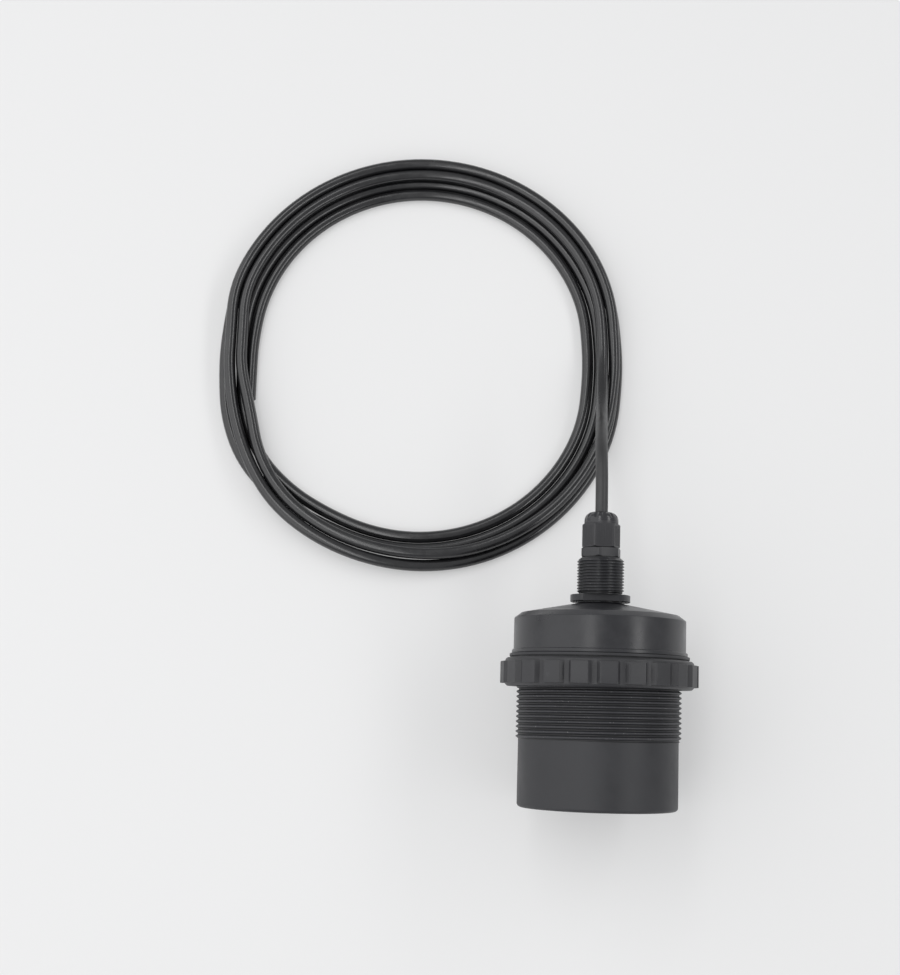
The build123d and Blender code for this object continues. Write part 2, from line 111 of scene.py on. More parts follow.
def edit_faces(piece, wanted):
    """Opens a piece in edit mode with only those faces selected for which wanted(face) is true."""
    edit(piece, "FACE", everything=False)
    bpy.ops.object.mode_set(mode="OBJECT")
    for face_ in piece.data.polygons:
        face_.select = wanted(face_)
    bpy.ops.object.mode_set(mode="EDIT")


def added(name):
    """Names the object that the last operator added."""
    piece = bpy.context.object
    piece.name = name
    return piece


def apply_modifier(piece, name, kind, **settings):
    """Adds a modifier, sets it and applies it at once."""
    only(piece)
    modifier = piece.modifiers.new(name, kind)
    for setting, value in settings.items():
        setattr(modifier, setting, value)
    bpy.ops.object.modifier_apply(modifier=name)


def combine(piece, tool, operation):
    """Unites a piece with another solid, cuts that solid out of it, or keeps what both share."""
    apply_modifier(piece, operation.lower(), "BOOLEAN", object=tool, operation=operation, solver="EXACT")
    bpy.data.objects.remove(tool)


def clean(piece):
    """Joins doubled points and turns all faces outwards."""
    edit(piece)
    bpy.ops.mesh.remove_doubles(threshold=0.002 * MM)
    bpy.ops.mesh.normals_make_consistent(inside=False)
    bpy.ops.object.mode_set(mode="OBJECT")


def soften(piece, width, limit=35.0, segments=2):
    """Rounds every edge that is sharper than a limit in degrees, as a mould does."""
    apply_modifier(piece, "soft_edges", "BEVEL", width=width * MM, segments=segments,
                   limit_method="ANGLE", angle_limit=math.radians(limit), miter_outer="MITER_ARC")


# %% [markdown]
# ## Turned pieces
# Most of the sensor is round, so its pieces start as half a cross-section and are spun about the axis.
# The outline is written as corners with a rounding each. A bevel could round them after the spin, but
# arcs in the outline stay exact and keep the mesh even.


# %% Outlines and spinning
def rounded(corners, arc_steps=5):
    """Turns corners of (radius, height, rounding) into outline points, with an arc where one is rounded."""
    points = []
    count = len(corners)
    for i, (r, z, rounding) in enumerate(corners):
        corner = Vector((r, z))
        if rounding == 0:
            points.append(corner)
            continue
        before = (Vector(corners[i - 1][:2]) - corner).normalized()
        after = (Vector(corners[(i + 1) % count][:2]) - corner).normalized()
        half = before.angle(after) / 2
        centre = corner + (before + after).normalized() * rounding / math.sin(half)
        start = corner + before * rounding / math.tan(half) - centre
        end = corner + after * rounding / math.tan(half) - centre
        for k in range(arc_steps + 1):
            mixed = start.lerp(end, k / arc_steps)
            points.append(centre + mixed.normalized() * rounding)
    return points


def outline_object(name, points, angle=0.0):
    """Makes a closed wire from outline points in millimetres, standing at an angle round the axis."""
    bpy.ops.object.select_all(action="DESELECT")
    bpy.ops.mesh.primitive_circle_add(vertices=len(points), radius=MM, fill_type="NOTHING")
    piece = added(name)
    for vertex, (r, z) in zip(piece.data.vertices, points):
        vertex.co = (r * math.cos(angle) * MM, r * math.sin(angle) * MM, z * MM)
    return piece


def turned(name, corners, columns=128, arc_steps=5):
    """Spins an outline once round the axis into a closed solid."""
    piece = outline_object(name, rounded(corners, arc_steps))
    edit(piece)
    bpy.ops.mesh.spin(steps=columns, angle=2 * math.pi, center=(0, 0, 0), axis=(0, 0, 1))
    clean(piece)
    return piece


# %% [markdown]
# ## Threads
# A real thread is one ridge that climbs by its pitch at every turn. A picture of grooves, or rings
# stacked on each other, would look wrong at the ends and from the side. So a single tooth is drawn
# over one pitch, the Screw modifier winds it up the axis, and two bisecting planes trim it. An
# envelope with slanted ends then takes the first and last turns down to the root, as the lead-in of a
# moulded thread does.

# %% Winding a thread
# Each point of the tooth is a share of the pitch and a share of the depth.
TOOTH = [
    (0.0, 0.0),
    (0.10, 0.0),
    (0.34, 0.90),
    (0.42, 1.0),
    (0.56, 1.0),
    (0.64, 0.90),
    (0.88, 0.0),
    (1.0, 0.0),
]


def screw_thread(name, root_r, crest_r, pitch, low, high, lead_in, columns=96):
    """A solid threaded rod between two heights, in millimetres, right-handed."""
    turns = math.ceil((high - low) / pitch) + 2
    start = low - 1.5 * pitch
    bpy.ops.object.select_all(action="DESELECT")
    bpy.ops.mesh.primitive_circle_add(vertices=len(TOOTH), radius=MM, fill_type="NOTHING")
    piece = added(name)
    edit(piece, "EDGE", everything=False)
    bpy.ops.object.mode_set(mode="OBJECT")
    for edge in piece.data.edges:
        edge.select = set(edge.vertices) == {0, len(TOOTH) - 1}
    bpy.ops.object.mode_set(mode="EDIT")
    bpy.ops.mesh.delete(type="EDGE")
    bpy.ops.object.mode_set(mode="OBJECT")
    for vertex, (along, depth) in zip(piece.data.vertices, TOOTH):
        vertex.co = ((root_r + depth * (crest_r - root_r)) * MM, 0, (start + along * pitch) * MM)
    apply_modifier(piece, "winding", "SCREW", axis="Z", angle=2 * math.pi, screw_offset=pitch * MM,
                   iterations=turns, steps=columns, render_steps=columns, use_merge_vertices=True,
                   merge_threshold=0.001 * MM)
    for height, upwards in ((low, False), (high, True)):
        edit(piece)
        bpy.ops.mesh.bisect(plane_co=(0, 0, height * MM), plane_no=(0, 0, 1), use_fill=True,
                            clear_inner=not upwards, clear_outer=upwards)
    clean(piece)
    envelope_r = crest_r + 0.02
    inner_r = root_r - 0.3
    envelope = turned("envelope", [
        (0, low - 1, 0),
        (inner_r, low - 1, 0),
        (inner_r, low, 0),
        (envelope_r, low + lead_in, 0),
        (envelope_r, high - lead_in, 0),
        (inner_r, high, 0),
        (inner_r, high + 1, 0),
        (0, high + 1, 0),
    ], columns)
    combine(piece, envelope, "INTERSECT")
    return piece


# %% [markdown]
# ## Finishing a piece
# A finished piece is shaded smooth except at its true edges, laid down with the matrix from above, and
# given to the CAD body that it moves with. Its object stays at the origin, because patterns read places
# from there.


# %% Laying a piece down
def finish_piece(piece, body, material, replaced=(), smooth=32.0, upright=True):
    """Shades, places and registers one piece, and prints its size."""
    only(piece)
    bpy.ops.object.shade_smooth_by_angle(angle=math.radians(smooth))
    if upright:
        piece.matrix_world = lay
    bpy.ops.object.transform_apply(location=True, rotation=True, scale=True)
    piece.data.materials.clear()
    piece.data.materials.append(material)
    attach(piece, body)
    if replaced:
        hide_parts(*replaced)
    piece.data.calc_loop_triangles()
    print(piece.name, "triangles", len(piece.data.loop_triangles), "size mm",
          [round(side / MM, 1) for side in piece.dimensions])
    return piece


# %% [markdown]
# ## Materials: the parts of a recipe
# Each finish is a node tree on Object coordinates, so that a pattern stays where it is on the piece. A
# small set of helpers adds the nodes: one noise that drifts the colour, one that changes how dull the
# surface is, and one that gives the fine grain of the mould. What is the same all over is set on the
# shader's own sockets.


# %% Node helpers
def new_material(name, colour, roughness, metallic=0.0, coat=0.0, specular=0.5):
    """Starts a material, and returns it with its tree, its shader and its Object coordinates."""
    material = bpy.data.materials.new(name)
    material.use_nodes = True
    tree = material.node_tree
    shader = tree.nodes["Principled BSDF"]
    shader.inputs["Base Color"].default_value = (*colour, 1)
    shader.inputs["Roughness"].default_value = roughness
    shader.inputs["Metallic"].default_value = metallic
    shader.inputs["Coat Weight"].default_value = coat
    shader.inputs["Specular IOR Level"].default_value = specular
    place = tree.nodes.new("ShaderNodeTexCoord").outputs["Object"]
    return material, tree, shader, place


def noise(tree, place, scale, detail=3.0, roughness=0.5):
    """A noise of so many cells to the metre."""
    node = tree.nodes.new("ShaderNodeTexNoise")
    node.inputs["Scale"].default_value = scale
    node.inputs["Detail"].default_value = detail
    node.inputs["Roughness"].default_value = roughness
    tree.links.new(place, node.inputs["Vector"])
    return node.outputs["Fac"]


def remap(tree, value, low, high, to_low=0.0, to_high=1.0):
    """Maps a value from one range to another, and stops at its ends."""
    node = tree.nodes.new("ShaderNodeMapRange")
    node.interpolation_type = "SMOOTHSTEP"
    settings = {"From Min": low, "From Max": high, "To Min": to_low, "To Max": to_high}
    for socket, number in settings.items():
        node.inputs[socket].default_value = number
    tree.links.new(value, node.inputs["Value"])
    return node.outputs["Result"]


def calculate(tree, operation, first, second):
    """One sum on two values, of which the second may be a number."""
    node = tree.nodes.new("ShaderNodeMath")
    node.operation = operation
    tree.links.new(first, node.inputs[0])
    if isinstance(second, (int, float)):
        node.inputs[1].default_value = second
    else:
        tree.links.new(second, node.inputs[1])
    return node.outputs["Value"]


def mix_colours(tree, share, first, second):
    """Blends from the first colour to the second. Each is three numbers or a socket."""
    node = tree.nodes.new("ShaderNodeMix")
    node.data_type = "RGBA"
    tree.links.new(share, node.inputs[0])
    for socket, colour in ((node.inputs[6], first), (node.inputs[7], second)):
        if isinstance(colour, bpy.types.NodeSocket):
            tree.links.new(colour, socket)
        else:
            socket.default_value = (*colour, 1)
    return node.outputs[2]


def bump(tree, shader, height, strength, distance):
    """Feeds a height into the shader as bump, with its depth in metres."""
    node = tree.nodes.new("ShaderNodeBump")
    node.inputs["Strength"].default_value = strength
    node.inputs["Distance"].default_value = distance
    tree.links.new(height, node.inputs["Height"])
    tree.links.new(node.outputs["Normal"], shader.inputs["Normal"])


def upright_place(tree, place):
    """Object coordinates turned back upright, with Z up from the sensing face and the axis at X = Y = 0."""
    node = tree.nodes.new("ShaderNodeMapping")
    node.vector_type = "TEXTURE"
    node.inputs["Location"].default_value = face
    node.inputs["Rotation"].default_value = (lay_turn, 0, 0)
    tree.links.new(place, node.inputs["Vector"])
    return node.outputs["Vector"]


def height_and_radius(tree, upright):
    """Splits upright coordinates into the height along the axis and the distance from it."""
    apart = tree.nodes.new("ShaderNodeSeparateXYZ")
    tree.links.new(upright, apart.inputs["Vector"])
    flat = tree.nodes.new("ShaderNodeCombineXYZ")
    tree.links.new(apart.outputs["X"], flat.inputs["X"])
    tree.links.new(apart.outputs["Y"], flat.inputs["Y"])
    length = tree.nodes.new("ShaderNodeVectorMath")
    length.operation = "LENGTH"
    tree.links.new(flat.outputs["Vector"], length.inputs[0])
    return apart.outputs["Z"], length.outputs["Value"]


# %% [markdown]
# ## A plain recipe for simple finishes
# Rubber, resin, laminate and metal inside the sensor share one recipe with other numbers: the colour
# drifts between two tones, the roughness drifts with it, and a fine grain lies over both.


# %% The plain recipe
def simple_finish(name, dark, light, roughness, spread=0.08, patch=60.0, grain=900.0, depth=0.02,
                  metallic=0.0, coat=0.0, specular=0.5):
    """A finish of two tones with a grain."""
    material, tree, shader, place = new_material(name, dark, roughness, metallic, coat, specular)
    drift = noise(tree, place, patch)
    tone = mix_colours(tree, remap(tree, drift, 0.35, 0.65), dark, light)
    tree.links.new(tone, shader.inputs["Base Color"])
    dull = remap(tree, noise(tree, place, patch * 2.3), 0.3, 0.7, roughness - spread, roughness + spread)
    tree.links.new(dull, shader.inputs["Roughness"])
    bump(tree, shader, noise(tree, place, grain, 4.0), 0.6, depth * MM)
    return material


# %% [markdown]
# ## Housing plastic
# The can is moulded in dark grey PVC: satin, a little cloudy, with faint turning marks along the round
# walls. Handling has left dust on the thread crests and soft scuffs on the barrel, and the thread roots
# get painted shade where their own shadow falls. Crests and roots are found by their distance from the
# axis, so that dust and painted shade follow the thread wherever it runs.

# %% Housing plastic
BARREL_R = 55.85
THREAD_ROOT_R = 55.95
THREAD_CREST_R = 57.6
STUB_CREST_R = 16.62
HEAD_BASE_Z = 105.8


def housing_finish(name, dark, light, roughness, marks):
    """Satin PVC with cloudy tones, scuffs, dust on whatever stands out at the given radii, and painted
    shade in the roots below it.
    """
    material, tree, shader, place = new_material(name, dark, roughness, specular=0.5)
    upright = upright_place(tree, place)
    height, radius = height_and_radius(tree, upright)
    cloud = noise(tree, place, 34.0, 5.0, 0.6)
    tone = mix_colours(tree, remap(tree, cloud, 0.35, 0.68), dark, light)
    scuff_noise = noise(tree, place, 90.0, 8.0, 0.75)
    scuff = remap(tree, scuff_noise, 0.62, 0.80, 0.0, 0.30)
    pale = tuple(min(1.0, 3.2 * c) for c in light)
    tone = mix_colours(tree, scuff, tone, pale)
    specks = noise(tree, place, 1300.0, 2.0, 0.6)
    for crest_r, low, high in marks:
        near_crest = remap(tree, radius, (crest_r - 0.35) * MM, (crest_r - 0.02) * MM)
        under = remap(tree, radius, (crest_r + 0.05) * MM, (crest_r + 0.25) * MM, 1.0, 0.0)
        above = remap(tree, height, (low - 0.4) * MM, low * MM)
        below = remap(tree, height, high * MM, (high + 0.4) * MM, 1.0, 0.0)
        zone = calculate(tree, "MULTIPLY", calculate(tree, "MULTIPLY", near_crest, under),
                         calculate(tree, "MULTIPLY", above, below))
        # Painted shade: the thread roots are darkened below the crests, where the thread's own shadow
        # falls.
        deep = remap(tree, radius, (crest_r - 1.5) * MM, (crest_r - 0.5) * MM, 0.75, 0.0)
        beyond = remap(tree, radius, (crest_r - 2.2) * MM, (crest_r - 1.9) * MM)
        root_shade = calculate(tree, "MULTIPLY", calculate(tree, "MULTIPLY", deep, beyond),
                          calculate(tree, "MULTIPLY", above, below))
        tone = mix_colours(tree, root_shade, tone, tuple(0.3 * c for c in dark))
        rubbed = calculate(tree, "MULTIPLY", zone, remap(tree, cloud, 0.30, 0.70, 0.10, 0.40))
        tone = mix_colours(tree, rubbed, tone, tuple(2.0 * c for c in light))
        dust = calculate(tree, "MULTIPLY", zone, remap(tree, specks, 0.64, 0.74, 0.0, 0.6))
        tone = mix_colours(tree, dust, tone, (0.42, 0.42, 0.41))
    tree.links.new(tone, shader.inputs["Base Color"])
    dull = remap(tree, cloud, 0.3, 0.7, roughness - 0.05, roughness + 0.08)
    tree.links.new(dull, shader.inputs["Roughness"])
    grain = noise(tree, place, 2200.0, 3.0)
    rings = tree.nodes.new("ShaderNodeTexWave")
    rings.wave_type = "BANDS"
    rings.bands_direction = "Z"
    rings.inputs["Scale"].default_value = 420.0
    rings.inputs["Distortion"].default_value = 1.2
    tree.links.new(upright, rings.inputs["Vector"])
    relief = calculate(tree, "ADD", grain, calculate(tree, "MULTIPLY", rings.outputs["Fac"], 0.25))
    bump(tree, shader, relief, 0.5, 0.02 * MM)
    return material


thread_marks = [(THREAD_CREST_R, 47.0, 103.2), (STUB_CREST_R, 149.0, 174.4)]
SATIN_DARK, SATIN_LIGHT = (0.0175, 0.0178, 0.0205), (0.0240, 0.0243, 0.0275)
MOULD_DARK, MOULD_LIGHT = (0.0230, 0.0230, 0.0255), (0.0300, 0.0300, 0.0330)
FLAT_ROUGHNESS, CROWN_ROUGHNESS = 0.45, 0.20
GLOSS_LOW, GLOSS_HIGH = 198.5, 201.5
housing_plastic = housing_finish("rubbed grey PVC", SATIN_DARK, SATIN_LIGHT, 0.50, thread_marks)
head_plastic = housing_finish("satin grey PVC", SATIN_DARK, SATIN_LIGHT, 0.32, thread_marks)
nut_plastic = housing_finish("grey PVC of the nut", MOULD_DARK, MOULD_LIGHT, 0.46, [])


def gland_finish():
    """Polyamide that is dull on the spanner flats and glossy on the crown above them."""
    material = housing_finish("smooth polyamide", MOULD_DARK, MOULD_LIGHT, FLAT_ROUGHNESS, [])
    tree = material.node_tree
    place = next(node for node in tree.nodes if node.type == "TEX_COORD").outputs["Object"]
    height, _ = height_and_radius(tree, upright_place(tree, place))
    shader = tree.nodes["Principled BSDF"]
    gloss = remap(tree, height, GLOSS_LOW * MM, GLOSS_HIGH * MM, FLAT_ROUGHNESS, CROWN_ROUGHNESS)
    tree.links.new(gloss, shader.inputs["Roughness"])
    return material


gland_plastic = gland_finish()
print("housing finishes", housing_plastic.name, head_plastic.name, nut_plastic.name, gland_plastic.name)

# %% [markdown]
# ## Cable jacket
# The jacket is black and shiny where it lies coiled, and dull and greyer on the free stretch by the
# gland, where hands and the air get at it. The same material does both, by its height above the floor.


# %% Cable jacket
COILED_DARK = (0.009, 0.009, 0.010)
HANDLED_DARK = (0.011, 0.011, 0.012)
JACKET_LIGHT = (0.015, 0.015, 0.016)
COIL_TOP, FREE_FROM = 20, 62


def jacket_finish():
    """Black jacket that turns dull and grey above the coil."""
    material, tree, shader, place = new_material("cable jacket", HANDLED_DARK, 0.30, specular=0.75)
    apart = tree.nodes.new("ShaderNodeSeparateXYZ")
    tree.links.new(place, apart.inputs["Vector"])
    free = remap(tree, apart.outputs["Z"], COIL_TOP * MM, FREE_FROM * MM)
    cloud = noise(tree, place, 45.0, 5.0, 0.6)
    coiled = mix_colours(tree, remap(tree, cloud, 0.35, 0.7), COILED_DARK, JACKET_LIGHT)
    handled = mix_colours(tree, remap(tree, cloud, 0.35, 0.7), HANDLED_DARK, JACKET_LIGHT)
    tree.links.new(mix_colours(tree, free, coiled, handled), shader.inputs["Base Color"])
    shine = remap(tree, noise(tree, place, 140.0, 6.0, 0.65), 0.3, 0.75, 0.17, 0.28)
    dull = calculate(tree, "MULTIPLY", free, 0.28)
    tree.links.new(calculate(tree, "ADD", shine, dull), shader.inputs["Roughness"])
    bump(tree, shader, noise(tree, place, 700.0, 4.0), 0.30, 0.02 * MM)
    return material


cable_jacket = jacket_finish()

# %% [markdown]
# ## Finishes inside
# The inner parts don't show while the sensor is closed, but each still gets the finish that it has on
# the bench: beige foam, turned aluminium, sintered ceramic, brass, steel, resin, wires and a green
# board.

# %% Finishes inside
inner_finishes = {
    "seal_rubber": simple_finish("seal rubber", (0.012, 0.012, 0.013), (0.019, 0.019, 0.020), 0.72),
    "syntactic_foam": simple_finish("syntactic foam", (0.44, 0.40, 0.31), (0.52, 0.47, 0.37), 0.85,
                                    grain=500.0, depth=0.08),
    "horn_aluminium": simple_finish("turned aluminium", (0.62, 0.63, 0.64), (0.72, 0.72, 0.73), 0.32,
                                    metallic=1.0),
    "piezo_ceramic": simple_finish("sintered ceramic", (0.50, 0.46, 0.36), (0.58, 0.53, 0.43), 0.60),
    "contact_brass": simple_finish("rolled brass", (0.62, 0.44, 0.17), (0.72, 0.53, 0.23), 0.30,
                                   metallic=1.0),
    "stack_steel": simple_finish("ground steel", (0.42, 0.42, 0.43), (0.54, 0.54, 0.55), 0.35,
                                 metallic=1.0),
    "damping_rubber": simple_finish("damping rubber", (0.070, 0.070, 0.072), (0.095, 0.095, 0.097), 0.85),
    "potting_resin": simple_finish("potting resin", (0.014, 0.014, 0.016), (0.020, 0.020, 0.022), 0.22,
                                   coat=0.3),
    "wire_plastic": simple_finish("wire jacket", (0.40, 0.030, 0.025), (0.48, 0.040, 0.032), 0.40),
    "board_laminate": simple_finish("board laminate", (0.020, 0.12, 0.045), (0.030, 0.16, 0.060), 0.38,
                                    coat=0.4),
    "block_plastic": simple_finish("block plastic", (0.035, 0.16, 0.075), (0.045, 0.20, 0.095), 0.45),
}
outer_finishes = {
    "housing_plastic": housing_plastic,
    "nut_plastic": nut_plastic,
    "gland_plastic": gland_plastic,
    "cable_jacket": cable_jacket,
}
finishes = {**inner_finishes, **outer_finishes}
print(len(finishes), "finishes")

# %% [markdown]
# ## Dressing the CAD nodes
# A CAD part whose shape is already right keeps its mesh and only gets its finish. The record says
# which part has which finish, so one loop dresses them all.

# %% Dressing the CAD nodes
for part in frame["record"]["subparts"]:
    node = bpy.data.objects[part["node"]]
    for material_slot in node.material_slots:
        material_slot.material = finishes[part["material_slot"]]

# %% [markdown]
# ## The camera
# The photograph looks almost straight down on the bench. The lens and the place were worked out from
# sizes that the picture shows, such as the width of the barrel and the middle of the gland's mouth.

# %% The camera
CAMERA_PLACE = (-0.108452, -0.213872, 1.181472)
CAMERA_LEAN = 17.04
CAMERA_ROLL = 1.6679
FOCAL_LENGTH = 59.08
bpy.ops.object.camera_add(location=CAMERA_PLACE)
camera = added("bench_camera")
leaned = Matrix.Rotation(math.radians(CAMERA_LEAN), 4, "X")
rolled = Matrix.Rotation(math.radians(CAMERA_ROLL), 4, "Z")
camera.matrix_world = Matrix.Translation(camera.location) @ leaned @ rolled
camera.data.sensor_width = 36
camera.data.lens = FOCAL_LENGTH
camera.data.clip_start = 0.05
camera.data.clip_end = 20
bpy.context.scene.camera = camera
bpy.context.scene.view_settings.view_transform = "Standard"
print("camera looks down from", round(camera.location.z, 2), "m")

# %% [markdown]
# ## Floor and light
# A white table fills the picture. Half of its tone is a glow that only the camera sees, so the table
# stays even and still takes the shadows. Three long soft panels hang over it, side by side like studio
# strips, because the round plastic shows each one as a pale band with a dark gap between them. The
# room adds a low even light.

# %% Floor
BENCH_SIZE = 7
LIT_TONE = (0.82, 0.82, 0.82)
SEEN_TONE = (0.51, 0.51, 0.51)
EVEN_GLOW = 0.29
bpy.ops.mesh.primitive_plane_add(size=BENCH_SIZE, location=(0, 0, 0))
floor = added("bench_top")
floor_paint, floor_tree, floor_shader, _ = new_material("bench paint", LIT_TONE, 0.9, specular=0.1)
seen = floor_tree.nodes.new("ShaderNodeLightPath").outputs["Is Camera Ray"]
bench_tone = mix_colours(floor_tree, seen, LIT_TONE, SEEN_TONE)
floor_tree.links.new(bench_tone, floor_shader.inputs["Base Color"])
floor_shader.inputs["Emission Color"].default_value = (1, 1, 1, 1)
glow = calculate(floor_tree, "MULTIPLY", seen, EVEN_GLOW)
floor_tree.links.new(glow, floor_shader.inputs["Emission Strength"])
floor.data.materials.append(floor_paint)

# %% Light
ROOM_LIGHT = 0.45
PANEL_DISTANCE = 1.7
PANEL_LENGTH = 3.2
PANEL_MIDDLE_Y = 0.05


def panel(name, lean, spread, power):
    """A soft panel along Y that leans off the vertical by an angle and looks spread degrees wide."""
    width = 2 * PANEL_DISTANCE * math.tan(math.radians(spread / 2))
    turn = math.radians(lean)
    place = (PANEL_DISTANCE * math.sin(turn), PANEL_MIDDLE_Y, PANEL_DISTANCE * math.cos(turn))
    bpy.ops.object.light_add(type="AREA", location=place, rotation=(0, turn, 0))
    lamp = added(name)
    lamp.data.shape = "RECTANGLE"
    lamp.data.size = width
    lamp.data.size_y = PANEL_LENGTH
    lamp.data.energy = power * width * PANEL_LENGTH
    return lamp


panels = [
    panel("panel_wide", -56, 56, 3.0),
    panel("panel_top", -17, 13, 9.0),
    panel("panel_right", 44, 13, 10.0),
]
world = bpy.data.worlds.new("pale room")
bpy.context.scene.world = world
world.use_nodes = True
world.node_tree.nodes["Background"].inputs["Color"].default_value = (0.97, 0.98, 1.0, 1)
world.node_tree.nodes["Background"].inputs["Strength"].default_value = ROOM_LIGHT
print("panels", [lamp.name for lamp in panels])

# %% [markdown]
# ## The cable
# The cable leaves the gland's mouth, sinks to the bench under its own weight and becomes the coil. It
# is one curve, so its turns keep one thickness and its length can be measured. The free stretch takes
# a few listed points. The coil is written as stations of angle, radius and height, and the points
# between them come from a loop. Three lanes lie on the bench, the upper turns rest on them and in the
# hollow between them, and the end is tucked under an upper turn that swerves inwards.

# %% Cable route
CABLE_R = 4.5
COIL_X, COIL_Y = -134.2, 250.8
COIL_STRAIGHT = 13.0
POINT_STEP = 15
LEAD_POINTS = [
    (0, 106.071, 87.578),
    (0, 130.757, 91.533),
    (0.3, 155.6, 84.0),
    (2.2, 176.1, 64.9),
    (4.6, 190.9, 41.1),
    (6.3, 213.3, 26.0),
    (7.4, 239.5, 18.6),
    (8.1, 263.5, 14.2),
]
UPPER = 13.6
NESTLED = 12.5
LOWER = 4.6
COIL_STATIONS = [
    (0, 142.4, UPPER),
    (30, 145.1, NESTLED),
    (165, 145.1, NESTLED),
    (178, 140.7, UPPER),
    (195, 134.2, UPPER),
    (212, 140.7, UPPER),
    (228, 145.1, UPPER),
    (262, 145.2, UPPER - 0.2),
    (292, 148.4, NESTLED),
    (320, 149.8, NESTLED),
    (345, 150.2, NESTLED + 0.2),
    (360, 151.6, UPPER - 0.4),
    (375, 152.9, UPPER),
    (390, 154.2, UPPER),
    (525, 154.2, UPPER),
    (538, 149.9, NESTLED + 0.2),
    (555, 147.6, 11.4),
    (572, 149.9, UPPER),
    (588, 154.2, UPPER),
    (600, 154.2, UPPER),
    (650, 154.3, LOWER),
    (925, 154.1, LOWER),
    (965, 140.8, LOWER),
    (1285, 140.6, LOWER),
    (1325, 131.5, LOWER),
    (1600, 131.4, LOWER),
    (1630, 133.4, LOWER),
]


def coil_point(angle, side):
    """The point on the coil at an angle in degrees, on the half of the loop that side names."""
    before = max(i for i, station in enumerate(COIL_STATIONS) if station[0] <= angle)
    after = min(before + 1, len(COIL_STATIONS) - 1)
    start, end = COIL_STATIONS[before], COIL_STATIONS[after]
    share = 0 if before == after else (angle - start[0]) / (end[0] - start[0])
    share = share * share * (3 - 2 * share)
    radius = start[1] + share * (end[1] - start[1])
    height = start[2] + share * (end[2] - start[2])
    # A spline cuts the corners of its control points, so they stand further out on the round ends.
    if angle % 180:
        radius /= 0.75 + 0.25 * math.cos(math.radians(POINT_STEP))
    turn = math.radians(angle)
    x = COIL_X + radius * math.cos(turn)
    y = COIL_Y + radius * math.sin(turn) + side * COIL_STRAIGHT
    return (x, y, height)


route = list(LEAD_POINTS)
last_angle = COIL_STATIONS[-1][0]
angle = POINT_STEP
while angle < last_angle:
    side = 1 if angle % 360 <= 180 and angle % 360 > 0 else -1
    route.append(coil_point(angle, side))
    if angle % 180 == 0:
        route.append(coil_point(angle, -side))
    angle += POINT_STEP
route.append(coil_point(last_angle, -1))
print(len(route), "points on the cable")

# %% Cable curve
bpy.ops.curve.primitive_nurbs_path_add(location=(0, 0, 0))
supply_cable = added("supply_cable")
supply_cable.data.splines.clear()
spline = supply_cable.data.splines.new("NURBS")
spline.points.add(len(route) - 1)
for point, (x, y, z) in zip(spline.points, route):
    point.co = (x * MM, y * MM, z * MM, 1)
spline.order_u = 3
spline.use_endpoint_u = True
spline.resolution_u = 6
supply_cable.data.dimensions = "3D"
supply_cable.data.bevel_depth = CABLE_R * MM
supply_cable.data.bevel_resolution = 5
supply_cable.data.use_fill_caps = True
supply_cable.data.materials.append(cable_jacket)
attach(supply_cable, "housing")
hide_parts("cable_lead", "cable_coil")

# %% [markdown]
# ## The bare end
# Such a sensor comes with its cable cut and stripped for wiring. Four thin wires stick out of the
# jacket at the tucked end, each with a crimped metal sleeve. Each wire is a cylinder that is placed
# along the cable's last direction, and the sleeve is a slightly wider one at its tip.

# %% The bare end
CORE_R = 0.75
CORE_REACH = 13.0
SLEEVE_R = 0.95
SLEEVE_LENGTH = 6.0
CORE_CIRCLE_R = 1.7
end_point = Vector(route[-1])
end_way = (end_point - Vector(route[-2])).normalized()
end_side = end_way.cross(Vector((0, 0, 1))).normalized()
core_colours = {
    "brown": (0.080, 0.035, 0.015),
    "blue": (0.020, 0.060, 0.240),
    "black": (0.015, 0.015, 0.015),
    "white": (0.600, 0.600, 0.580),
}
sleeve_metal = simple_finish("tinned sleeve", (0.55, 0.55, 0.56), (0.66, 0.66, 0.67), 0.28, metallic=1.0)


def along_the_end(name, radius, start, length, turn):
    """A round bar beside the cable's last direction, starting so many millimetres past its end."""
    sideways = end_side * math.cos(turn) + Vector((0, 0, 1)) * math.sin(turn)
    middle = end_point + end_way * (start + length / 2) + sideways * CORE_CIRCLE_R
    bpy.ops.object.select_all(action="DESELECT")
    bpy.ops.mesh.primitive_cylinder_add(vertices=20, radius=radius * MM, depth=length * MM,
                                        location=middle * MM,
                                        rotation=end_way.to_track_quat("Z", "Y").to_euler())
    return added(name)


end_pieces = []
for i, (colour_name, colour) in enumerate(core_colours.items()):
    turn = math.radians(45 + 90 * i)
    core = along_the_end("end_core_" + colour_name, CORE_R, -1.0, CORE_REACH, turn)
    soften(core, 0.12)
    core_jacket = simple_finish(colour_name + " core", colour, tuple(1.2 * c for c in colour), 0.4)
    finish_piece(core, "housing", core_jacket, upright=False)
    sleeve = along_the_end("end_sleeve_" + colour_name, SLEEVE_R, CORE_REACH - 3.0, SLEEVE_LENGTH, turn)
    soften(sleeve, 0.15)
    finish_piece(sleeve, "housing", sleeve_metal, upright=False)
    end_pieces += [core, sleeve]

# %% [markdown]
# ## The threaded barrel
# The lower housing is one moulding: a closed sensing window, a plain wall, the big thread and a lip.
# The body is turned as a solid, the wound thread is united with it, and the bore is cut last, so that
# no thread end can show inside.

